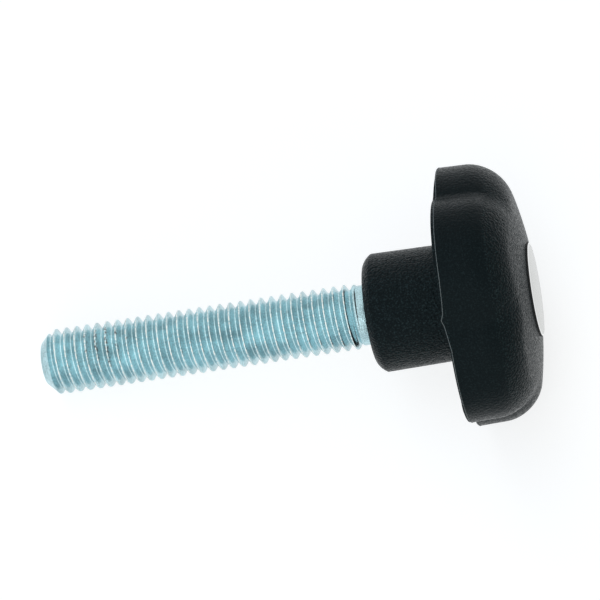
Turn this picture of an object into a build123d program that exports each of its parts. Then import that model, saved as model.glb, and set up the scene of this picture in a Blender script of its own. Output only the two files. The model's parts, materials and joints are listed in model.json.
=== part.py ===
from build123d import *
import os
from math import atan2, cos, degrees, radians, sqrt

# Thumb screw: a moulded five-lobed knob, a steel stud held in it, and a pressed metal cap in its face.
# Each piece is drawn standing on the screw's own axis, with the hub's clamping face at height 0, the
# head above it and the stud below. The whole screw is then laid down as it comes to rest on a table:
# on the stud's tip and on two neighbouring lobes. Lengths are in mm and angles in degrees.

# Stud: the thread stands out from the plain neck that is left of its rolled blank.
CREST_DIAMETER = 7.8
NECK_DIAMETER = 7.1
NECK_LENGTH = 1.2
STUD_REACH = 39.9
TIP_DIAMETER = 5.2

# Anchor: two hexagonal collars that the plastic is moulded round, with a groove between them. The
# flats keep the stud from turning in the knob, and the groove keeps it from being pulled out.
COLLAR_ACROSS_CORNERS = 9.2
COLLAR_LENGTH = 4.4
GROOVE_WIDTH = 2.6
ANCHOR_SINK = 2.2

# Hub: the round collar whose end face bears on the work. A shallow relief keeps the face clear of the
# stud, so that it lies flat on work drilled for the thread.
HUB_DIAMETER = 13.95
HUB_LENGTH = 10.3
HUB_CHAMFER = 0.95
RELIEF_DIAMETER = 8.4
RELIEF_DEPTH = 0.3

# Head: equal round lobes with a deep rounded shoulder, under a shallow domed crown. The shoulder is
# rounded from a flat that lies a little below the crown's top, and the dome takes that flat away.
LOBE_COUNT = 5
HEAD_DIAMETER = 31.6
LOBE_RADIUS = 9.4
VALLEY_RADIUS = 3.0
HEAD_THICKNESS = 9.25
WALL_DRAFT = 1.0
CROWN_RADIUS = 50.0
SHOULDER_RADIUS = 6.4
SHOULDER_DROP = 0.55

# Pockets: one in the back of each lobe, so that the head has no thick lumps of plastic.
POCKET_WALL = 2.3
POCKET_RIB = 2.0
POCKET_DEPTH = 4.4
POCKET_CORNER = 0.9
CORE_WALL = 1.6

# Cap: a domed disc of sheet metal whose skirt grips a low boss in the crown.
CAP_DIAMETER = 11.0
CAP_SHEET = 0.6
CAP_SKIRT = 1.4
CAP_PROUD = 0.25
CAP_DOME_RADIUS = 60.0
CAP_CLEARANCE = 0.04

# Levels along the screw's axis, and sizes that follow from the values above.
LOBE_OFFSET = HEAD_DIAMETER / 2 - LOBE_RADIUS
LOBE_STEP = 360 / LOBE_COUNT
TIP_CHAMFER = (CREST_DIAMETER - TIP_DIAMETER) / 2
NECK_CHAMFER = (CREST_DIAMETER - NECK_DIAMETER) / 2
ANCHOR_TOP = ANCHOR_SINK + 2 * COLLAR_LENGTH + GROOVE_WIDTH
CROWN_TOP = HUB_LENGTH + HEAD_THICKNESS
CAP_RADIUS = CAP_DIAMETER / 2
CAP_RIM = CROWN_TOP - CROWN_RADIUS + sqrt(CROWN_RADIUS**2 - CAP_RADIUS**2) + CAP_PROUD
CAP_TOP = CAP_RIM + CAP_DOME_RADIUS - sqrt(CAP_DOME_RADIUS**2 - CAP_RADIUS**2)
SKIRT_END = CAP_RIM - CAP_SKIRT

STANDING = (Align.CENTER, Align.CENTER, Align.MIN)


def upright_profile(points):
    """A face in the plane of the axis, from (radius, height) points."""
    return make_face(Plane.XZ * Polyline(*points, close=True))


def domed_disc(radius, base, top, dome_radius):
    """A round disc that stands at one level, its top a shallow dome that peaks at another."""
    ball = Pos(0, 0, top - dome_radius) * Rot(90, 0, 0) * Sphere(dome_radius)
    return ball & Pos(0, 0, base) * Cylinder(radius, top - base, align=STANDING)


def collar(level):
    """One hexagonal collar of the anchor."""
    return extrude(Pos(0, 0, level) * RegularPolygon(COLLAR_ACROSS_CORNERS / 2, 6), amount=COLLAR_LENGTH)


def stud():
    """The steel stud: chamfered tip, threaded length at its crest size, plain neck and anchor."""
    crest = CREST_DIAMETER / 2
    neck = NECK_DIAMETER / 2
    shank = revolve(
        upright_profile(
            [
                (0, -STUD_REACH),
                (TIP_DIAMETER / 2, -STUD_REACH),
                (crest, TIP_CHAMFER - STUD_REACH),
                (crest, -NECK_LENGTH - NECK_CHAMFER),
                (neck, -NECK_LENGTH),
                (neck, ANCHOR_TOP),
                (0, ANCHOR_TOP),
            ]
        ),
        Axis.Z,
    )
    return shank + collar(ANCHOR_SINK) + collar(ANCHOR_TOP - COLLAR_LENGTH)


def cap_hollow(gap):
    """The domed space under the cap's sheet, kept clear of its skirt by a gap."""
    radius = CAP_RADIUS - CAP_SHEET - gap
    return domed_disc(radius, SKIRT_END, CAP_TOP - CAP_SHEET, CAP_DOME_RADIUS - CAP_SHEET)


def cap():
    """The domed metal cap, an even sheet with a turned-down skirt."""
    return domed_disc(CAP_RADIUS, SKIRT_END, CAP_TOP, CAP_DOME_RADIUS) - cap_hollow(0)


def cap_seat():
    """The space that the knob leaves for the cap: a ring for its skirt, and all above the boss."""
    room = Pos(0, 0, SKIRT_END) * Cylinder(CAP_RADIUS + CAP_CLEARANCE, 2 * CAP_SKIRT, align=STANDING)
    return room - cap_hollow(CAP_CLEARANCE)


def lobed_outline():
    """The head's outline: one circle a lobe, with the valleys between them rounded."""
    lobes = PolarLocations(LOBE_OFFSET, LOBE_COUNT) * Circle(LOBE_RADIUS)
    outline = Sketch() + lobes
    return fillet(outline.vertices(), VALLEY_RADIUS)


def head():
    """The lobed head, drafted from its back edge, with its rounded shoulder and domed crown."""
    height = HEAD_THICKNESS - SHOULDER_DROP
    walls = extrude(Pos(0, 0, HUB_LENGTH) * lobed_outline(), amount=height, taper=WALL_DRAFT)
    top = walls.faces().sort_by(Axis.Z)[-1]
    rounded = fillet(top.edges(), SHOULDER_RADIUS)
    meeting_radius = sqrt(CROWN_RADIUS**2 - (CROWN_RADIUS - SHOULDER_DROP) ** 2)
    middle = Pos(0, 0, HUB_LENGTH) * Cylinder(meeting_radius, HEAD_THICKNESS, align=STANDING)
    return (rounded + middle) & domed_disc(HEAD_DIAMETER, HUB_LENGTH, CROWN_TOP, CROWN_RADIUS)


def pockets():
    """The hollows in the head's back, each inside one lobe, between the core's wall and two ribs."""
    room = Pos(LOBE_OFFSET, 0) * Circle(LOBE_RADIUS - POCKET_WALL)
    room -= Circle(HUB_DIAMETER / 2 + CORE_WALL)
    for side in (-1, 1):
        beyond_rib = Rectangle(HEAD_DIAMETER, HEAD_DIAMETER, align=(Align.MIN, Align.MIN))
        beyond_rib = Pos(-HEAD_DIAMETER / 2, -POCKET_RIB / 2) * beyond_rib
        if side < 0:
            beyond_rib = mirror(beyond_rib, Plane.XZ)
        room -= Rot(0, 0, side * LOBE_STEP / 2) * beyond_rib
    rounded = fillet(room.vertices(), POCKET_CORNER)
    pocket = extrude(Pos(0, 0, HUB_LENGTH) * rounded, amount=POCKET_DEPTH)
    return PolarLocations(0, LOBE_COUNT) * pocket


def hub():
    """The collar between the clamping face and the head."""
    collar = Cylinder(HUB_DIAMETER / 2, HUB_LENGTH + POCKET_DEPTH, align=STANDING)
    end = collar.edges().sort_by(Axis.Z)[0]
    relief = Cylinder(RELIEF_DIAMETER / 2, RELIEF_DEPTH, align=STANDING)
    return chamfer(end, HUB_CHAMFER) - relief


def knob():
    """The moulded knob: hub and head in one piece, formed round the stud and recessed for the cap."""
    return head() - pockets() + hub() - stud() - cap_seat()


def resting_tilt():
    """The axis's slope on a table, from the stud's chamfered tip to the two lowest lobes' back edge."""
    lobe_drop = LOBE_OFFSET * cos(radians(LOBE_STEP / 2)) + LOBE_RADIUS
    run = HUB_LENGTH + STUD_REACH - TIP_CHAMFER
    return degrees(atan2(lobe_drop - CREST_DIAMETER / 2, run))


def laid_down(piece):
    """The piece turned from standing to resting: the stud points along -X and one lobe points up."""
    return Rot(0, 90 - resting_tilt(), 0) * Rot(0, 0, 180) * piece


def main():
    """Write each piece, with the origin on the table under the middle of the whole screw."""
    pieces = {"knob": knob(), "threaded_stud": stud(), "cap": cap()}
    laid = {name: laid_down(piece) for name, piece in pieces.items()}
    extent = Compound(laid.values()).bounding_box()
    foot = Pos(-extent.center().X, -extent.center().Y, -extent.min.Z)
    os.makedirs("parts", exist_ok=True)
    for name, piece in laid.items():
        export_step(foot * piece, f"parts/{name}.step")
    print("axis slope", round(resting_tilt(), 4), "clamping face centre", foot.position)


main()
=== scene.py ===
"""Thumb screw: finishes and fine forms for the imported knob, threaded stud and cap."""

import json
import logging
import math
from dataclasses import dataclass
from enum import Enum
from functools import partial
from typing import Callable

import bmesh
import bpy
from mathutils import Matrix, Quaternion, Vector


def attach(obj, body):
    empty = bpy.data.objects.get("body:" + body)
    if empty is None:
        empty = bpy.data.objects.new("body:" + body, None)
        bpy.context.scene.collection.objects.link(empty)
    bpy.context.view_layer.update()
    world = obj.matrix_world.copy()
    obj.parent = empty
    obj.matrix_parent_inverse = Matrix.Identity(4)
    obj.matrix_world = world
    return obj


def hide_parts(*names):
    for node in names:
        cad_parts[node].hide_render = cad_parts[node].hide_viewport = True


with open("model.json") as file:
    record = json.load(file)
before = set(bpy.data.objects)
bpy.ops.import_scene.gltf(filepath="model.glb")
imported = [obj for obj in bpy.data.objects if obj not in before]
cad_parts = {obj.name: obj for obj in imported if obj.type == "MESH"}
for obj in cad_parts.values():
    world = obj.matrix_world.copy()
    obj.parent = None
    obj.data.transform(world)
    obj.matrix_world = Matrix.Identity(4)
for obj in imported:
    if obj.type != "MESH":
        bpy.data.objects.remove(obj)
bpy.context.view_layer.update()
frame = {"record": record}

MM = 0.001
SMOOTH_ANGLE = math.radians(38)

# Distances in mm: where the thread's mount starts, where the stud is scuffed, and how near points merge.
FACE_TO_THREAD = 1.55
SCUFF_LEVEL = -31.9
SCUFF_RADIUS = 3.9
MERGE_DISTANCE = 0.004

logging.basicConfig(level=logging.INFO, format="%(name)s: %(message)s")
log = logging.getLogger("thumb_screw")


class Slot(Enum):
    """The record's material slots."""

    PLASTIC = "black_plastic"
    STEEL = "zinc_plated_steel"
    CAP = "satin_metal"


class Reading(Enum):
    """How a noise pattern is laid over a piece."""

    EVEN = (1.0, 1.0, 1.0)
    ALONG_X = (0.06, 1.0, 1.0)


@dataclass(frozen=True)
class ScrewAxis:
    """The screw's own axis: where the clamping face's centre is, and which way the head lies."""

    centre: Vector
    direction: Vector

    @classmethod
    def from_record(cls, record: dict, face_to_thread: float) -> "ScrewAxis":
        """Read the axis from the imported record's thread mount.

        Args:
            record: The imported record.
            face_to_thread: Distance from the clamping face to the near end of the thread, in mm.

        Returns:
            The axis, in metres.
        """
        thread = next(mount for mount in record["mounts"] if mount["name"] == "stud_thread")
        outward = Vector(thread["axis"]).normalized()
        half = thread["dims"]["length_mm"] / 2 + face_to_thread
        return cls(Vector(thread["pos_m"]) - outward * half * MM, -outward)

    def placing(self) -> Matrix:
        """Find the placing of a piece drawn standing on the clamping face, in mm.

        Returns:
            A matrix to the row frame: the piece's X goes to the lobe that points up.
        """
        aside = Vector((0.0, -1.0, 0.0))
        up = aside.cross(self.direction)
        turn = Matrix((up, aside, self.direction)).transposed().to_4x4()
        return Matrix.Translation(self.centre) @ turn @ Matrix.Scale(MM, 4)

    def spot(self, along: float, radius: float, turn: float) -> Vector:
        """Find a place on the screw in the row frame.

        Args:
            along: Distance from the clamping face toward the head, in mm.
            radius: Distance from the axis, in mm.
            turn: Angle about the axis in radians, from the lobe that points up.

        Returns:
            The place, in metres.
        """
        return self.placing() @ polar(radius, turn, along)


class ShaderBench:
    """A material's node tree, with short ways to add and join its nodes."""

    def __init__(self, name: str) -> None:
        """Start a material with a Principled shader.

        Args:
            name: The material's name.
        """
        self.material = bpy.data.materials.new(name)
        self.material.use_nodes = True
        self.tree = self.material.node_tree
        self.shader = self.tree.nodes["Principled BSDF"]

    @classmethod
    def over(cls, tree: bpy.types.NodeTree) -> "ShaderBench":
        """Work on a node tree that is already there.

        Args:
            tree: The node tree.

        Returns:
            A bench with no material of its own.
        """
        bench = cls.__new__(cls)
        bench.tree = tree
        return bench

    def add(self, kind: str, **settings: object) -> bpy.types.Node:
        """Add a node.

        Args:
            kind: The node's type, without its ShaderNode prefix.
            **settings: Values for the node's own properties.

        Returns:
            The new node.
        """
        node = self.tree.nodes.new("ShaderNode" + kind)
        for name, value in settings.items():
            setattr(node, name, value)
        return node

    def join(self, source: bpy.types.NodeSocket, target: bpy.types.NodeSocket) -> None:
        """Link an output to an input."""
        self.tree.links.new(source, target)

    def noise(
        self, size: float, detail: float = 2.0, reading: Reading = Reading.EVEN
    ) -> bpy.types.NodeSocket:
        """Add a noise pattern on Object coordinates.

        Args:
            size: The size of the pattern's spots in mm.
            detail: Octaves of finer noise.
            reading: How the pattern is stretched.

        Returns:
            The noise's factor.
        """
        place = self.add("TexCoord")
        stretch = self.add("Mapping")
        stretch.inputs["Scale"].default_value = reading.value
        pattern = self.add("TexNoise")
        pattern.inputs["Scale"].default_value = 1 / (size * MM)
        pattern.inputs["Detail"].default_value = detail
        self.join(place.outputs["Object"], stretch.inputs["Vector"])
        self.join(stretch.outputs["Vector"], pattern.inputs["Vector"])
        return pattern.outputs["Fac"]

    def remap(self, source: bpy.types.NodeSocket, *stops: tuple[float, object]) -> bpy.types.NodeSocket:
        """Turn a factor into a colour or a grey by a ramp.

        Args:
            source: The factor.
            *stops: Position and colour pairs, where a number stands for a grey.

        Returns:
            The ramp's colour.
        """
        ramp = self.add("ValToRGB")
        points = ramp.color_ramp.elements
        while len(points) < len(stops):
            points.new(1.0)
        for point, (position, colour) in zip(points, stops):
            point.position = position
            point.color = (*colour, 1) if isinstance(colour, tuple) else (colour, colour, colour, 1)
        self.join(source, ramp.inputs["Fac"])
        return ramp.outputs["Color"]

    def blend(self, amount: bpy.types.NodeSocket, low: object, high: object) -> bpy.types.NodeSocket:
        """Mix two colours.

        Args:
            amount: Share of the second colour.
            low: First colour, or a socket that gives it.
            high: Second colour, or a socket that gives it.

        Returns:
            The mixed colour.
        """
        mix = self.add("Mix", data_type="RGBA")
        self.join(amount, mix.inputs["Factor"])
        for name, value in (("A", low), ("B", high)):
            target = next(s for s in mix.inputs if s.name == name and s.type == "RGBA")
            if isinstance(value, tuple):
                target.default_value = (*value, 1)
            else:
                self.join(value, target)
        return next(s for s in mix.outputs if s.type == "RGBA")

    def maths(self, operation: str, *values: object) -> bpy.types.NodeSocket:
        """Work out a number.

        Args:
            operation: The Math node's operation.
            *values: Its inputs, each a number or a socket.

        Returns:
            The result.
        """
        node = self.add("Math", operation=operation)
        for target, value in zip(node.inputs, values):
            if isinstance(value, float):
                target.default_value = value
            else:
                self.join(value, target)
        return node.outputs[0]

    def relief(
        self, *layers: tuple[bpy.types.NodeSocket, float], strength: bpy.types.NodeSocket | None = None
    ) -> None:
        """Stack bump layers on the shader's normal.

        Args:
            *layers: Height pattern and full depth in mm of each layer.
            strength: A factor that weakens every layer from place to place.
        """
        below = None
        for height, depth in layers:
            bump = self.add("Bump")
            bump.inputs["Distance"].default_value = depth * MM
            self.join(height, bump.inputs["Height"])
            if strength:
                self.join(strength, bump.inputs["Strength"])
            if below:
                self.join(below, bump.inputs["Normal"])
            below = bump.outputs["Normal"]
        self.join(below, self.shader.inputs["Normal"])


def polar(radius: float, turn: float, level: float = 0.0) -> Vector:
    """Find the point at a radius, an angle in radians and a level."""
    return Vector((radius * math.cos(turn), radius * math.sin(turn), level))


class Loft:
    """Rings drawn one from another, where each point keeps its angle about the axis."""

    def __init__(self, shape: bmesh.types.BMesh, rim: list[bmesh.types.BMEdge]) -> None:
        """Start from an open rim.

        Args:
            shape: The shape, whose points have a turn layer.
            rim: The rim's edges.
        """
        self.shape = shape
        self.rim = rim
        self.turns = shape.verts.layers.float["turn"]
        for point in self.points():
            point[self.turns] = math.atan2(point.co.y, point.co.x)

    @classmethod
    def from_circle(cls, shape: bmesh.types.BMesh, steps: int, place: Callable[[float], Vector]) -> "Loft":
        """Start from a new ring.

        Args:
            shape: The shape, whose points have a turn layer.
            steps: Number of points.
            place: Where the point at an angle lies.

        Returns:
            The loft, with the ring as its rim.
        """
        ring = bmesh.ops.create_circle(shape, segments=steps, radius=1.0)["verts"]
        loft = cls(shape, list({edge for point in ring for edge in point.link_edges}))
        loft.put(place)
        return loft

    def points(self) -> set[bmesh.types.BMVert]:
        """Give the rim's points."""
        return {end for edge in self.rim for end in edge.verts}

    def put(self, place: Callable[[float], Vector]) -> None:
        """Move the rim's points.

        Args:
            place: Where the point at an angle lies.
        """
        for point in self.points():
            point.co = place(point[self.turns])

    def draw(self, place: Callable[[float], Vector]) -> None:
        """Draw the next ring out of the rim, which becomes the new rim.

        Args:
            place: Where the point at an angle lies.
        """
        drawn = bmesh.ops.extrude_edge_only(self.shape, edges=self.rim)["geom"]
        fresh = {part for part in drawn if isinstance(part, bmesh.types.BMVert)}
        self.rim = [
            part
            for part in drawn
            if isinstance(part, bmesh.types.BMEdge) and fresh.issuperset(part.verts)
        ]
        self.put(place)

    def turned(self, *section: tuple[float, float]) -> None:
        """Draw round rings.

        Args:
            *section: Radius and level of each ring.
        """
        for radius, level in section:
            self.draw(lambda turn: polar(radius, turn, level))

    def close(self) -> None:
        """Fill the rim with one face."""
        bmesh.ops.contextual_create(self.shape, geom=self.rim)


@dataclass(frozen=True)
class Anchor:
    """The end of the stud that the plastic is moulded round, with two hexagonal collars. Sizes in mm."""

    neck_radius: float = 3.55
    corner_radius: float = 4.6
    collars: tuple[tuple[float, float], ...] = ((2.2, 6.6), (9.2, 13.6))

    def flat(self, turn: float) -> float:
        """Find a collar's radius at an angle in radians."""
        half = math.pi / 6
        return self.corner_radius * math.cos(half) / math.cos(turn % (2 * half) - half)

    def raise_from(self, neck: Loft) -> None:
        """Carry the neck on as the anchor, and close it.

        Args:
            neck: The neck, with its open rim.
        """
        for low, high in self.collars:
            neck.turned((self.neck_radius, low))
            for level in (low, high):
                neck.draw(lambda turn: polar(self.flat(turn), turn, level))
            neck.turned((self.neck_radius, high))
        neck.close()


def crossing(ray: Vector, centre: Vector, radius: float, far: bool) -> float:
    """Find where a ray from the origin crosses a circle.

    Args:
        ray: The ray's direction, of length 1.
        centre: The circle's centre.
        radius: The circle's radius.
        far: Whether the further crossing is wanted.

    Returns:
        The distance along the ray, or infinity if the ray misses the circle.
    """
    along = ray.dot(centre)
    inside = radius**2 - centre.length_squared + along**2
    if inside < 0:
        return math.inf
    return along + math.sqrt(inside) * (1 if far else -1)


@dataclass(frozen=True)
class LobedOutline:
    """The head's outline: equal round lobes with rounded valleys between them. Sizes in mm."""

    count: int = 5
    offset: float = 6.4
    radius: float = 9.4
    valley_radius: float = 1.8

    def valley_offset(self) -> float:
        """Find how far from the axis the valleys' rounding is centred."""
        half = math.pi / self.count
        across = self.offset * math.sin(half)
        return self.offset * math.cos(half) + math.sqrt((self.radius + self.valley_radius) ** 2 - across**2)

    def point(self, turn: float, inward: float, level: float = 0.0) -> Vector:
        """Find a point of the outline, or of a line that runs inside it at an even distance.

        Args:
            turn: Angle about the axis in radians, from the middle of a lobe.
            inward: Distance in from the outline.
            level: Level along the axis.

        Returns:
            The point.
        """
        step = 2 * math.pi / self.count
        middle = round(turn / step) * step
        aside = turn - middle
        lobe = Vector((self.offset, 0.0, 0.0))
        valley = polar(self.valley_offset(), math.copysign(step / 2, aside))
        touch = lobe.lerp(valley, self.radius / (self.radius + self.valley_radius))
        ray = polar(1.0, aside)
        if abs(aside) < abs(math.atan2(touch.y, touch.x)):
            spot = ray * crossing(ray, lobe, self.radius, far=True)
            outward = (spot - lobe).normalized()
        else:
            spot = ray * crossing(ray, valley, self.valley_radius, far=False)
            outward = (valley - spot).normalized()
        place = Matrix.Rotation(middle, 3, "Z") @ (spot - outward * inward)
        place.z = level
        return place


@dataclass(frozen=True)
class MouldedPlastic:
    """Matt black plastic with the fine grain of a spark-eroded mould. Sizes in mm."""

    colour: tuple[float, float, float] = (0.0030, 0.0060, 0.0070)
    # Painted highlight: pale grey colour along the parting ridge.
    painted_ridge_highlight: tuple[float, float, float] = (0.15, 0.16, 0.16)
    roughness: float = 0.3
    gloss_tint: tuple[float, float, float] = (0.78, 0.96, 1.0)
    # Painted glints: pale flecks laid into the grain's colour.
    painted_glint: tuple[float, float, float] = (0.016, 0.027, 0.029)
    painted_glint_size: float = 0.2
    grain_size: float = 0.27
    grain_depth: float = 0.19
    mottle_size: float = 1.6
    mottle_depth: float = 0.02
    smoothing: float = 0.6
    index: float = 1.16

    def material(self) -> bpy.types.Material:
        """Build the finish, with a painted highlight along the parting ridge, pale flecks painted in as
        glints of the grain, and finer where it is smoothed.

        Returns:
            The material.
        """
        bench = ShaderBench("moulded_black_plastic")
        grain = bench.noise(self.grain_size, 0.6)
        mottle = bench.noise(self.mottle_size, 4.0)
        smooth = bench.add("Attribute", attribute_name="smoothed").outputs["Fac"]
        coarse = bench.maths("MULTIPLY_ADD", smooth, -self.smoothing, 1.0)
        # Painted glints: pale flecks in the colour, weaker on the smoothed walls.
        painted_glints = bench.remap(bench.noise(self.painted_glint_size, 1.0), (0.5, 0.0), (0.72, 1.0))
        moulded = bench.blend(bench.maths("MULTIPLY", painted_glints, coarse), self.colour, self.painted_glint)
        # Painted highlight: where the parting ridge's attribute is set, the colour turns pale grey.
        painted_highlight = bench.add("Attribute", attribute_name="painted_highlight").outputs["Fac"]
        bench.join(bench.blend(painted_highlight, moulded, self.painted_ridge_highlight), bench.shader.inputs["Base Color"])
        low, high = self.roughness - 0.08, self.roughness + 0.14
        bench.join(bench.remap(grain, (0.35, low), (0.7, high)), bench.shader.inputs["Roughness"])
        bench.shader.inputs["IOR"].default_value = self.index
        bench.shader.inputs["Specular Tint"].default_value = (*self.gloss_tint, 1.0)
        bench.relief((mottle, self.mottle_depth), (grain, self.grain_depth), strength=coarse)
        return bench.material


@dataclass(frozen=True)
class ZincPlate:
    """Blue-passivated zinc on a rolled thread: smooth flanks, and a rough, pale seam along each crest."""

    scuff_place: Vector
    flank: tuple[float, float, float] = (0.43, 0.62, 0.665)
    seam: tuple[float, float, float] = (0.84, 0.85, 0.81)
    scuff: tuple[float, float, float] = (0.14, 0.14, 0.14)
    scuff_reach: float = 3.0
    scuff_fade: float = 0.16
    scuff_size: float = 0.34
    seam_break: float = 0.24
    cloud_size: float = 2.2
    speckle_size: float = 0.15
    clouding: tuple[float, float] = (0.72, 1.18)
    grain_size: float = 0.16
    grain_depth: float = 0.015

    def material(self) -> bpy.types.Material:
        """Build the finish, which follows the thread by the piece's thread_height attribute.

        Returns:
            The material.
        """
        bench = ShaderBench("zinc_plated_thread")
        height = bench.add("Attribute", attribute_name="thread_height").outputs["Fac"]
        speckle = bench.noise(self.speckle_size, 3.0)
        cloud = bench.maths("MULTIPLY_ADD", bench.noise(self.cloud_size, 3.0), 0.7, speckle)
        dull, bright = (tuple(value * level for value in self.flank) for level in self.clouding)
        flank = bench.blend(bench.remap(cloud, (0.65, 0.0), (1.05, 1.0)), dull, bright)
        seam = bench.maths(
            "MULTIPLY",
            bench.remap(height, (0.97, 0.0), (1.0, 1.0)),
            bench.remap(bench.noise(self.seam_break, 3.0), (0.4, 0.0), (0.6, 1.0)),
        )
        plated = bench.blend(seam, flank, self.seam)
        away = bench.add("VectorMath", operation="DISTANCE")
        bench.join(bench.add("TexCoord").outputs["Object"], away.inputs[0])
        away.inputs[1].default_value = self.scuff_place
        near = bench.maths("DIVIDE", away.outputs["Value"], self.scuff_reach * MM)
        fade = bench.maths("MULTIPLY", near, self.scuff_fade)
        spots = bench.maths("SUBTRACT", bench.noise(self.scuff_size, 4.0), fade)
        worn = bench.maths(
            "MULTIPLY",
            bench.remap(height, (0.62, 0.0), (0.8, 1.0)),
            bench.remap(spots, (0.44, 0.0), (0.54, 1.0)),
        )
        bench.join(bench.blend(worn, plated, self.scuff), bench.shader.inputs["Base Color"])
        bench.shader.inputs["Metallic"].default_value = 1.0
        bench.join(bench.remap(seam, (0.0, 0.22), (1.0, 0.45)), bench.shader.inputs["Roughness"])
        bench.relief((bench.noise(self.grain_size, 3.0), self.grain_depth))
        return bench.material


@dataclass(frozen=True)
class SatinMetal:
    """Satin sheet metal with a polished rim painted paler as a highlight, and its side wall below the rim
    painted near-black as shade.
    """

    colour: tuple[float, float, float] = (0.52, 0.52, 0.5)
    # Painted highlight: the rim bevel's colour is paler than the face.
    rim: tuple[float, float, float] = (0.85, 0.85, 0.84)
    # Painted shade: the side wall below the rim is near-black.
    painted_wall_shade: tuple[float, float, float] = (0.012, 0.012, 0.012)
    roughness: float = 0.2
    streak_size: float = 0.25
    streak_depth: float = 0.001
    streak_shade: float = 0.88

    def material(self) -> bpy.types.Material:
        """Build the finish, which follows the edge attribute: 0 on the face, 0.5 on the rim with its
        painted highlight, 1 below it with its painted shade.

        Returns:
            The material.
        """
        bench = ShaderBench("satin_cap")
        streak = bench.noise(self.streak_size, 3.0, Reading.ALONG_X)
        darker = tuple(value * self.streak_shade for value in self.colour)
        face = bench.blend(streak, darker, self.colour)
        edge = bench.add("Attribute", attribute_name="edge").outputs["Fac"]
        # Painted highlight on the rim bevel.
        painted_rim_highlight = bench.blend(bench.remap(edge, (0.2, 0.0), (0.45, 1.0)), face, self.rim)
        # Painted shade on the side wall below the rim, which also loses its metal.
        painted_wall_shade = bench.remap(edge, (0.6, 0.0), (0.9, 1.0))
        bench.join(bench.blend(painted_wall_shade, painted_rim_highlight, self.painted_wall_shade), bench.shader.inputs["Base Color"])
        bench.join(
            bench.remap(edge, (0.2, self.roughness), (0.5, 0.12), (0.9, 0.85)),
            bench.shader.inputs["Roughness"],
        )
        bench.join(bench.remap(painted_wall_shade, (0.0, 1.0), (1.0, 0.0)), bench.shader.inputs["Metallic"])
        bench.relief((streak, self.streak_depth))
        return bench.material


class Piece:
    """Shared steps that turn a bmesh drawn in mm into a placed and finished object."""

    def __init__(self, axis: ScrewAxis) -> None:
        """Keep the axis that the piece is placed on."""
        self.axis = axis

    def place(
        self, name: str, shape: bmesh.types.BMesh, finish: bpy.types.Material, slot: Slot
    ) -> bpy.types.Object:
        """Make the object, with its place in its mesh.

        Args:
            name: The piece's name.
            shape: The shape standing on the clamping face, in mm.
            finish: The material.
            slot: The record's slot that the finish belongs to; not used.

        Returns:
            The object, riding on the screw's body.
        """
        bmesh.ops.recalc_face_normals(shape, faces=shape.faces)
        shape.transform(self.axis.placing())
        mesh = bpy.data.meshes.new(name)
        shape.to_mesh(mesh)
        shape.free()
        mesh.materials.append(finish)
        mesh.shade_smooth()
        mesh.set_sharp_from_angle(angle=SMOOTH_ANGLE)
        piece = bpy.data.objects.new(name, mesh)
        bpy.context.scene.collection.objects.link(piece)
        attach(piece, "root")
        log.info("%s: %d faces", name, len(mesh.polygons))
        return piece


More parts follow.
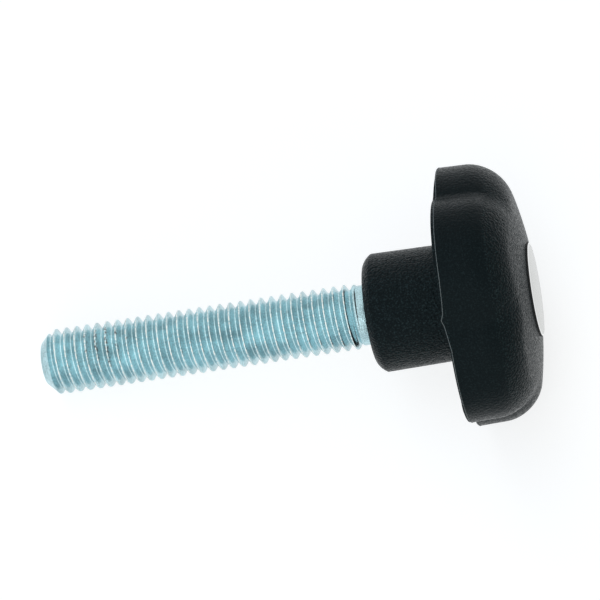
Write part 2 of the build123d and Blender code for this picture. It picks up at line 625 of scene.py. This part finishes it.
@dataclass
class ThreadedStud:
    """The steel stud with its rolled thread, plain neck and collared anchor. Sizes in mm."""

    crest_radius: float = 3.9
    root_radius: float = 3.2
    pitch: float = 1.25
    crest_width: float = 0.12
    root_width: float = 0.15
    crest_level: float = -37.605
    neck_radius: float = 3.55
    neck_level: float = -1.2
    edge_softness: float = 0.035
    run_out: float = 0.75
    tip_radius: float = 2.6
    tip_level: float = -39.62
    chamfer_height: float = 0.6
    steps: int = 100
    samples: int = 20
    anchor: Anchor = Anchor()

    def crest_share(self, along: float) -> float:
        """Find how far out the thread's surface is.

        Args:
            along: Distance along the axis from a crest.

        Returns:
            A share from 0 at the root to 1 at the crest.
        """
        aside = abs((along / self.pitch + 0.5) % 1 - 0.5) * self.pitch
        flank = (self.pitch - self.crest_width - self.root_width) / 2
        fall = min(1.0, max(0.0, (aside - self.crest_width / 2) / flank))
        return 1 - fall + self.edge_softness * math.sin(2 * math.pi * fall)

    def one_turn(self, shape: bmesh.types.BMesh) -> None:
        """Spin one pitch of the profile through one turn, starting below the tip.

        Args:
            shape: The empty stud, whose points have a thread_height.
        """
        height = shape.verts.layers.float["thread_height"]
        below = math.ceil((self.crest_level - self.tip_level) / self.pitch) + 1
        start = self.crest_level - self.pitch * below
        chain = []
        for number in range(self.samples + 1):
            along = self.pitch * number / self.samples
            share = self.crest_share(along)
            radius = self.root_radius + share * (self.crest_radius - self.root_radius)
            point = shape.verts.new((radius, 0.0, start + along))
            point[height] = share
            chain.append(point)
        lines = [shape.edges.new(pair) for pair in zip(chain, chain[1:])]
        bmesh.ops.spin(
            shape,
            geom=chain + lines,
            cent=(0, 0, 0),
            axis=(0, 0, 1),
            dvec=(0, 0, self.pitch / self.steps),
            angle=2 * math.pi,
            steps=self.steps,
            use_merge=False,
            use_duplicate=False,
        )

    def long_thread(self) -> bmesh.types.BMesh:
        """Repeat the turn along the axis, past both ends of the threaded length.

        Returns:
            The thread, with the thread_height of each point.
        """
        shape = bmesh.new()
        shape.verts.layers.float.new("thread_height")
        shape.verts.layers.float.new("turn")
        self.one_turn(shape)
        turn = shape.verts[:] + shape.edges[:] + shape.faces[:]
        turns = math.ceil((self.neck_level - self.tip_level) / self.pitch) + 3
        for number in range(1, turns):
            copied = bmesh.ops.duplicate(shape, geom=turn)["geom"]
            points = [part for part in copied if isinstance(part, bmesh.types.BMVert)]
            bmesh.ops.translate(shape, verts=points, vec=(0, 0, self.pitch * number))
        bmesh.ops.remove_doubles(shape, verts=shape.verts, dist=MERGE_DISTANCE)
        return shape

    def trim(self, shape: bmesh.types.BMesh) -> None:
        """Cut the spun thread to the chamfered tip, the run-out and the plain neck.

        Args:
            shape: The spun thread.
        """
        height = shape.verts.layers.float["thread_height"]
        for point in shape.verts:
            level = min(self.neck_level, max(self.tip_level, point.co.z))
            radius = point.co.xy.length
            cone = self.tip_radius + level - self.tip_level
            fade = min(1.0, max(0.0, (self.neck_level - level) / self.run_out))
            trimmed = min(self.neck_radius + fade * (radius - self.neck_radius), cone)
            point[height] *= 0.5 + 0.5 * fade
            if cone < radius:
                point[height] = self.chamfer_height
            point.co *= trimmed / radius
            point.co.z = level
        bmesh.ops.remove_doubles(shape, verts=shape.verts, dist=MERGE_DISTANCE)

    def open_rim(self, shape: bmesh.types.BMesh, level: float) -> list[bmesh.types.BMEdge]:
        """Find the open edges at a level."""
        return [edge for edge in shape.edges if edge.is_boundary and abs(edge.verts[0].co.z - level) < 0.01]

    def shape(self) -> bmesh.types.BMesh:
        """Build the whole stud.

        Returns:
            The stud standing on the clamping face, in mm.
        """
        shape = self.long_thread()
        self.trim(shape)
        bmesh.ops.contextual_create(shape, geom=self.open_rim(shape, self.tip_level))
        self.anchor.raise_from(Loft(shape, self.open_rim(shape, self.neck_level)))
        return shape


@dataclass
class PressedCap:
    """The domed cap with its turned-down skirt and slightly rounded rim. Sizes in mm."""

    radius: float = 5.5
    rim_level: float = 19.49
    skirt: float = 1.4
    sheet: float = 0.6
    dome_radius: float = 60.0
    rim_round: float = 0.09
    dome_rings: int = 14
    steps: int = 160

    def dome_level(self, radius: float) -> float:
        """Find the level of the domed face at a radius."""
        return self.rim_level + (self.radius**2 - radius**2) / (2 * self.dome_radius)

    def section(self) -> list[tuple[float, float]]:
        """Draw the sheet's section, from the dome's pole over the rim and back inside.

        Returns:
            Points as radius and level.
        """
        inner = self.radius - self.sheet
        low = self.rim_level - self.skirt
        spots = [self.radius * number / self.dome_rings for number in range(self.dome_rings + 1)]
        face = [(spot, self.dome_level(spot)) for spot in spots]
        skirt = [(self.radius, low), (inner, low)]
        inside = [
            (spot * inner / self.radius, self.dome_level(spot) - self.sheet) for spot in reversed(spots)
        ]
        return face + skirt + inside

    def shape(self) -> bmesh.types.BMesh:
        """Build the cap.

        Returns:
            The cap on the screw's axis, in mm, with the edge attribute of each point.
        """
        shape = bmesh.new()
        edge = shape.verts.layers.float.new("edge")
        chain = [shape.verts.new((radius, 0.0, level)) for radius, level in self.section()]
        lines = [shape.edges.new(pair) for pair in zip(chain, chain[1:])]
        bmesh.ops.spin(
            shape,
            geom=chain + lines,
            cent=(0, 0, 0),
            axis=(0, 0, 1),
            angle=2 * math.pi,
            steps=self.steps,
            use_merge=True,
            use_duplicate=False,
        )
        bmesh.ops.remove_doubles(shape, verts=shape.verts, dist=0.002)
        bmesh.ops.recalc_face_normals(shape, faces=shape.faces)
        rim = [line for line in shape.edges if self.on_rim(line)]
        bmesh.ops.bevel(
            shape,
            geom=rim,
            offset=self.rim_round,
            offset_type="OFFSET",
            affect="EDGES",
            segments=4,
            profile=0.5,
            material=-1,
        )
        # Rim points get 0.5 for the polished rim with its painted highlight, and the side wall below gets
        # 1.0 for its painted shade.
        polished = self.rim_level - self.rim_round * 0.4
        for point in shape.verts:
            if point.co.xy.length > self.radius - self.rim_round * 1.1:
                point[edge] = 0.5 if point.co.z > polished else 1.0
        return shape

    def on_rim(self, edge: bmesh.types.BMEdge) -> bool:
        """Tell whether an edge lies along the cap's outer top rim."""
        return all(
            abs(end.co.z - self.rim_level) < 0.01 and abs(end.co.xy.length - self.radius) < 0.01
            for end in edge.verts
        )


@dataclass
class MouldedKnob:
    """The knob: lobed head, round hub, pockets in its back and a seat for the cap. Sizes in mm."""

    outline: LobedOutline = LobedOutline()
    anchor: Anchor = Anchor()
    back_level: float = 10.3
    crown_top: float = 19.55
    crown_radius: float = 50.0
    shoulder: float = 3.8
    wall_inset: float = 0.03
    wall_reach: float = 13.0
    wall_slope: float = math.tan(math.radians(1.0))
    seat_radius: float = 5.54
    seat_floor: float = 18.1
    boss_radius: float = 4.86
    boss_top: float = 19.0
    hub_end_radius: float = 7.0
    hub_root_radius: float = 6.85
    hub_round: float = 0.95
    corner_roundness: float = 0.35
    root_round: float = 0.4
    relief_radius: float = 4.2
    relief_depth: float = 0.3
    pocket_wall: float = 2.3
    pocket_rib: float = 2.0
    pocket_depth: float = 4.4
    core_radius: float = 8.575
    pocket_middle: float = 11.2
    corner_passes: int = 14
    shoulder_rings: int = 22
    crown_rings: int = 14
    bend_rings: int = 6
    lobe_steps: int = 108
    hub_steps: int = 216
    pocket_steps: int = 120

    def crown_level(self, radius: float) -> float:
        """Find the level of the domed crown at a radius."""
        return self.crown_top - self.crown_radius + math.sqrt(self.crown_radius**2 - radius**2)

    def shoulder_point(self, turn: float, share: float) -> Vector:
        """Find a point of the rounded shoulder.

        Args:
            turn: Angle about the axis in radians.
            share: A share of the way from the wall to the crown.

        Returns:
            The point.
        """
        bend = share * math.pi / 2
        lean = self.wall_inset + self.wall_slope * (self.crown_top - self.shoulder - self.back_level)
        point = self.outline.point(turn, lean + self.shoulder * (1 - math.cos(bend)))
        point.z = self.crown_level(point.xy.length) - self.shoulder * (1 - math.sin(bend))
        return point

    def crown_point(self, turn: float, share: float) -> Vector:
        """Find a point of the crown.

        Args:
            turn: Angle about the axis in radians.
            share: A share of the way from the shoulder to the cap's seat.

        Returns:
            The point.
        """
        point = self.shoulder_point(turn, 1.0).lerp(polar(self.seat_radius, turn), share)
        point.z = self.crown_level(point.xy.length)
        return point

    def raise_head(self, shape: bmesh.types.BMesh) -> list[bmesh.types.BMEdge]:
        """Draw the head from its back edge over the shoulder and crown into the cap's seat.

        Args:
            shape: The knob so far.

        Returns:
            The edges of the back edge.
        """
        steps = self.lobe_steps * self.outline.count
        edge = partial(self.outline.point, inward=self.wall_inset, level=self.back_level)
        head = Loft.from_circle(shape, steps, edge)
        back = head.rim
        for share in (number / self.shoulder_rings for number in range(self.shoulder_rings + 1)):
            head.draw(lambda turn: self.shoulder_point(turn, share))
        for share in (number / self.crown_rings for number in range(1, self.crown_rings + 1)):
            head.draw(lambda turn: self.crown_point(turn, share))
        head.turned(
            (self.seat_radius, self.seat_floor),
            (self.boss_radius, self.seat_floor),
            (self.boss_radius, self.boss_top),
        )
        head.close()
        return back

    def drop_hub(self, shape: bmesh.types.BMesh) -> list[bmesh.types.BMEdge]:
        """Draw the hub from the head's back to its clamping face, and in round the stud's anchor.

        Args:
            shape: The knob so far.

        Returns:
            The edges where the hub leaves the head's back.
        """
        foot = self.hub_root_radius + self.root_round
        hub = Loft.from_circle(shape, self.hub_steps, lambda turn: polar(foot, turn, self.back_level))
        root = hub.rim
        bends = [number / self.bend_rings * math.pi / 2 for number in range(1, self.bend_rings + 1)]
        for bend in bends:
            drop = self.root_round * (1 - math.cos(bend))
            hub.turned((foot - self.root_round * math.sin(bend), self.back_level - drop))
        hub.turned((self.hub_end_radius, self.hub_round))
        hub.turned(*(self.hub_corner(bend) for bend in bends))
        hub.turned(
            (self.relief_radius, 0.0),
            (self.relief_radius, self.relief_depth),
            (self.anchor.neck_radius, self.relief_depth),
        )
        self.anchor.raise_from(hub)
        return root

    def hub_corner(self, bend: float) -> tuple[float, float]:
        """Find a point of the hub's softened chamfer.

        Args:
            bend: Angle in radians, from 0 at the hub's side to a quarter turn at its end face.

        Returns:
            Radius and level.
        """
        share = bend / (math.pi / 2)
        inward = self.corner_roundness * (1 - math.cos(bend)) + (1 - self.corner_roundness) * share
        down = self.corner_roundness * math.sin(bend) + (1 - self.corner_roundness) * share
        return self.hub_end_radius - self.hub_round * inward, self.hub_round * (1 - down)

    def pocket_point(self, turn: float) -> Vector:
        """Find a point of the edge of one lobe's pocket.

        Args:
            turn: Angle in radians about the pocket's middle.

        Returns:
            The point, at the level of the head's back.
        """
        middle = Vector((self.pocket_middle, 0.0, 0.0))
        ray = polar(1.0, turn)
        lobe = Vector((self.outline.offset, 0.0, 0.0))
        limits = [crossing(ray, lobe - middle, self.outline.radius - self.pocket_wall, far=True)]
        if ray.x < 0:
            limits.append(crossing(ray, -middle, self.core_radius, far=False))
        for side in (-1, 1):
            inward = polar(1.0, side * (math.pi / self.outline.count - math.pi / 2))
            room = middle.dot(inward) - self.pocket_rib / 2
            if ray.dot(inward) < 0:
                limits.append(room / -ray.dot(inward))
        place = middle + ray * min(limits)
        place.z = self.back_level
        return place

    def sink_pockets(self, shape: bmesh.types.BMesh) -> list[bmesh.types.BMEdge]:
        """Make the pockets, with softened corners.

        Args:
            shape: The knob so far.

        Returns:
            The edges of all their mouths.
        """
        mouths = []
        for number in range(self.outline.count):
            pocket = Loft.from_circle(shape, self.pocket_steps, self.pocket_point)
            for _ in range(self.corner_passes):
                bmesh.ops.smooth_vert(
                    shape,
                    verts=list(pocket.points()),
                    factor=0.5,
                    use_axis_x=True,
                    use_axis_y=True,
                    use_axis_z=False,
                )
            turn = Matrix.Rotation(number * 2 * math.pi / self.outline.count, 3, "Z")
            bmesh.ops.transform(shape, matrix=turn.to_4x4(), verts=list(pocket.points()))
            mouths += pocket.rim
            walls = bmesh.ops.extrude_edge_only(shape, edges=pocket.rim)["geom"]
            floor = [part for part in walls if isinstance(part, bmesh.types.BMVert)]
            bmesh.ops.translate(shape, verts=floor, vec=(0, 0, self.pocket_depth))
            rim = {line for point in floor for line in point.link_edges if line.is_boundary}
            bmesh.ops.contextual_create(shape, geom=list(rim))
        return mouths

    def shape(self) -> bmesh.types.BMesh:
        """Build the whole knob.

        Returns:
            The knob standing on its clamping face, in mm.
        """
        shape = bmesh.new()
        shape.verts.layers.float.new("turn")
        smoothed = shape.verts.layers.float.new("smoothed")
        edges = self.raise_head(shape) + self.drop_hub(shape) + self.sink_pockets(shape)
        for point in shape.verts:
            on_wall = point.co.xy.length > self.wall_reach and point.co.z < self.crown_top - self.shoulder
            point[smoothed] = 1.0 if on_wall else 0.0
        bmesh.ops.triangle_fill(shape, edges=edges, use_beauty=True, use_dissolve=False, normal=(0, 0, -1))
        return shape


@dataclass
class PartingLine:
    """The mould's parting line round the head's back edge: a fine ridge with a painted highlight along it,
    with flash behind it.

    The ridge and the flash stand back from the edge as far as their courses say: pairs of an angle
    about the axis in degrees, from the lobe that points up, and a height in mm. Each point of the
    section has its distance in from the outline, its distance above the ridge, its share of the
    flash's height, and its share of the painted highlight. The root, shoulder and inner points have
    only the first, and their distance above the back edge.
    """

    outline: LobedOutline = LobedOutline()
    back_level: float = 10.3
    ridge_course: tuple[tuple[float, float], ...] = (
        (-180.0, 0.0),
        (14.0, 0.0),
        (23.0, 0.13),
        (29.0, 0.3),
        (32.0, 0.62),
        (34.5, 0.45),
        (40.0, 0.24),
        (46.0, 0.0),
        (180.0, 0.0),
    )
    flash_course: tuple[tuple[float, float], ...] = (
        (-180.0, 0.13),
        (-50.0, 0.13),
        (-36.0, 0.36),
        (10.0, 0.38),
        (26.0, 0.2),
        (34.0, 0.1),
        (46.0, 0.16),
        (70.0, 0.16),
        (76.0, 0.26),
        (91.0, 0.26),
        (98.0, 0.13),
        (180.0, 0.13),
    )
    root: tuple[float, float] = (0.05, 0.14)
    shoulder: tuple[float, float] = (0.01, 0.06)
    section: tuple[tuple[float, float, float, float], ...] = (
        (0.01, 0.05, 0.0, 0.0),
        (0.01, 0.03, 0.0, 1.0),
        (0.01, -0.02, 0.0, 1.0),
        (0.04, -0.04, 0.0, 1.0),
        (0.08, -0.04, 0.0, 0.0),
        (0.1, 0.0, 1.0, 0.0),
        (0.4, 0.0, 0.7, 0.0),
    )
    inner: tuple[float, float] = (0.45, 0.1)
    steps: int = 900

    def height(self, course: tuple[tuple[float, float], ...], turn: float) -> float:
        """Find a course's height.

        Args:
            course: Pairs of angle and height, in the order of their angles.
            turn: Angle about the axis in radians.

        Returns:
            The height in mm.
        """
        angle = (math.degrees(turn) + 180) % 360 - 180
        for (start, low), (end, high) in zip(course, course[1:]):
            if angle <= end:
                return low + (high - low) * (angle - start) / (end - start)
        return course[-1][1]

    def shape(self) -> bmesh.types.BMesh:
        """Build the ridge and the flash.

        Returns:
            The ring round the head's back edge, in mm, with the painted highlight share of each point.
        """
        shape = bmesh.new()
        shape.verts.layers.float.new("turn")
        # This layer carries the painted highlight along the parting ridge.
        painted_highlight = shape.verts.layers.float.new("painted_highlight")
        ring = Loft.from_circle(shape, self.steps, self.even(*self.root))
        start = ring.rim
        ring.draw(self.even(*self.shoulder))
        for inward, above, flash, worn in self.section:
            ring.draw(lambda turn: self.outline.point(turn, inward, self.behind(turn, above, flash)))
            # Each ring's share of the painted highlight.
            for point in ring.points():
                point[painted_highlight] = worn
        ring.draw(self.even(*self.inner))
        bmesh.ops.bridge_loops(shape, edges=start + ring.rim)
        return shape

    def even(self, inward: float, above: float) -> Callable[[float], Vector]:
        """Describe a ring that keeps one distance from the outline and one from the back edge.

        Args:
            inward: Distance in from the outline, in mm.
            above: Distance above the back edge, in mm.

        Returns:
            Where the ring's point at an angle lies.
        """
        return partial(self.outline.point, inward=inward, level=self.back_level + above)

    def behind(self, turn: float, above: float, flash: float) -> float:
        """Find a level behind the head's back edge.

        Args:
            turn: Angle about the axis in radians.
            above: Distance above the ridge, in mm.
            flash: A share of the flash's height.

        Returns:
            The level, in mm.
        """
        ridge = self.height(self.ridge_course, turn)
        return self.back_level + above - ridge - flash * self.height(self.flash_course, turn)


@dataclass
class Studio:
    """The pale floor, soft light and the camera. Lengths in metres."""

    camera_place: tuple[float, float, float] = (-0.01074, -0.15853, 0.37081)
    azimuth: float = -4.29
    elevation: float = 65.783
    roll: float = 0.286
    lens: float = 201.06
    sensor_width: float = 36.0
    clip: tuple[float, float] = (0.01, 10.0)
    floor_size: float = 3.0
    floor_glow: float = 0.76
    floor_shade: float = 0.42
    sky_strength: float = 1.5
    open_front: tuple[tuple[float, float], ...] = ((0.1, 1.0), (0.3, 0.0))
    front: tuple[float, float, float] = (0.68, 0.72, 0.69)
    tip_to_head: tuple[tuple[float, tuple[float, float, float]], ...] = (
        (0.0, (0.14, 0.22, 0.33)),
        (0.22, (0.14, 0.22, 0.33)),
        (0.29, (0.85, 0.92, 0.95)),
        (0.42, (0.85, 0.92, 0.95)),
        (0.5, (0.3, 0.33, 0.35)),
        (0.64, (0.07, 0.08, 0.085)),
        (0.95, (0.07, 0.08, 0.085)),
    )
    lamps: tuple[tuple[str, tuple[float, float, float], tuple[float, float], float], ...] = (
        ("overhead_strip", (-0.2, -0.05, 0.62), (1.7, 0.2), 0.5),
        ("low_front", (0.0, -0.6, 0.3), (1.4, 0.8), 1.0),
    )

    def floor(self) -> None:
        """Lay the pale floor, which shows white and still keeps the screw's shadow."""
        shape = bmesh.new()
        bmesh.ops.create_grid(shape, x_segments=1, y_segments=1, size=self.floor_size / 2)
        mesh = bpy.data.meshes.new("floor")
        shape.to_mesh(mesh)
        shape.free()
        floor = bpy.data.objects.new("floor", mesh)
        bpy.context.scene.collection.objects.link(floor)
        bench = ShaderBench("pale_floor")
        bench.tree.nodes.remove(bench.shader)
        matt = bench.add("BsdfDiffuse")
        matt.inputs["Color"].default_value = (self.floor_shade,) * 3 + (1,)
        glow = bench.add("Emission")
        seen = self.seen_directly(bench)
        bench.join(bench.maths("MULTIPLY", seen, self.floor_glow), glow.inputs["Strength"])
        both = bench.add("AddShader")
        bench.join(matt.outputs[0], both.inputs[0])
        bench.join(glow.outputs[0], both.inputs[1])
        bench.join(both.outputs[0], bench.tree.nodes["Material Output"].inputs["Surface"])
        mesh.materials.append(bench.material)

    def seen_directly(self, bench: ShaderBench) -> bpy.types.NodeSocket:
        """Add a factor that is 1 for what the camera, a reflection or glass shows.

        Args:
            bench: The material's nodes.

        Returns:
            The factor.
        """
        path = bench.add("LightPath")
        total = path.outputs["Is Camera Ray"]
        for name in ("Is Glossy Ray", "Is Transmission Ray"):
            total = bench.maths("MAXIMUM", total, path.outputs[name])
        return total

    def sky(self) -> None:
        """Surround the screw with soft light, behind a background that is white wherever it is seen.

        The camera, reflections and glass all meet the white background. Only the soft light that
        falls on matt surfaces varies: pale from the front, brightest from overhead toward the tip.
        """
        world = bpy.data.worlds.new("studio")
        bpy.context.scene.world = world
        world.use_nodes = True
        bench = ShaderBench.over(world.node_tree)
        parts = bench.add("SeparateXYZ")
        bench.join(bench.add("TexCoord").outputs["Object"], parts.inputs[0])
        front = bench.maths("MULTIPLY", parts.outputs["Y"], -1.0)
        height = bench.maths("MAXIMUM", parts.outputs["Z"], 0.0)
        over = bench.maths("DIVIDE", bench.maths("ARCTAN2", height, front), math.pi)
        along = bench.maths("MULTIPLY_ADD", parts.outputs["X"], 0.5, 0.5)
        aside = bench.remap(along, *self.tip_to_head)
        light = bench.blend(bench.remap(over, *self.open_front), aside, self.front)
        seen = self.seen_directly(bench)
        backdrop = bench.blend(seen, light, (1 / self.sky_strength,) * 3)
        background = world.node_tree.nodes["Background"]
        background.inputs["Strength"].default_value = self.sky_strength
        bench.join(backdrop, background.inputs["Color"])

    def light(self) -> None:
        """Hang the soft lamps, each facing the screw."""
        for name, place, sides, power in self.lamps:
            lamp = bpy.data.lights.new(name, "AREA")
            lamp.shape = "RECTANGLE"
            lamp.size, lamp.size_y = sides
            lamp.energy = power
            holder = bpy.data.objects.new(name, lamp)
            holder.location = place
            holder.rotation_mode = "QUATERNION"
            holder.rotation_quaternion = (-Vector(place)).to_track_quat("-Z", "Y")
            bpy.context.scene.collection.objects.link(holder)

    def camera(self) -> None:
        """Set the camera as the photograph has it."""
        data = bpy.data.cameras.new("camera")
        data.lens = self.lens
        data.sensor_width = self.sensor_width
        data.clip_start, data.clip_end = self.clip
        camera = bpy.data.objects.new("camera", data)
        turn, rise = math.radians(self.azimuth), math.radians(self.elevation)
        ahead = Vector((-math.sin(turn) * math.cos(rise), math.cos(turn) * math.cos(rise), -math.sin(rise)))
        camera.location = self.camera_place
        camera.rotation_mode = "QUATERNION"
        roll = Quaternion((0, 0, 1), math.radians(self.roll))
        camera.rotation_quaternion = ahead.to_track_quat("-Z", "Y") @ roll
        bpy.context.scene.collection.objects.link(camera)
        bpy.context.scene.camera = camera

    def build(self) -> None:
        """Set up the whole studio."""
        self.camera()
        self.floor()
        self.sky()
        self.light()
        bpy.context.scene.view_settings.view_transform = "Standard"


def main() -> None:
    """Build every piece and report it."""
    Studio().build()
    axis = ScrewAxis.from_record(frame["record"], face_to_thread=FACE_TO_THREAD)
    maker = Piece(axis)

    plastic = MouldedPlastic().material()
    knob = maker.place("moulded_lobed_knob", MouldedKnob().shape(), plastic, Slot.PLASTIC)
    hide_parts("knob")
    maker.place("parting_line_flash", PartingLine().shape(), plastic, Slot.PLASTIC)
    zinc = ZincPlate(axis.spot(along=SCUFF_LEVEL, radius=SCUFF_RADIUS, turn=0.0))
    stud = maker.place("rolled_thread_stud", ThreadedStud().shape(), zinc.material(), Slot.STEEL)
    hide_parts("threaded_stud")
    cap = maker.place("satin_domed_cap", PressedCap().shape(), SatinMetal().material(), Slot.CAP)
    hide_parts("cap")


if __name__ == "__main__":
    main()
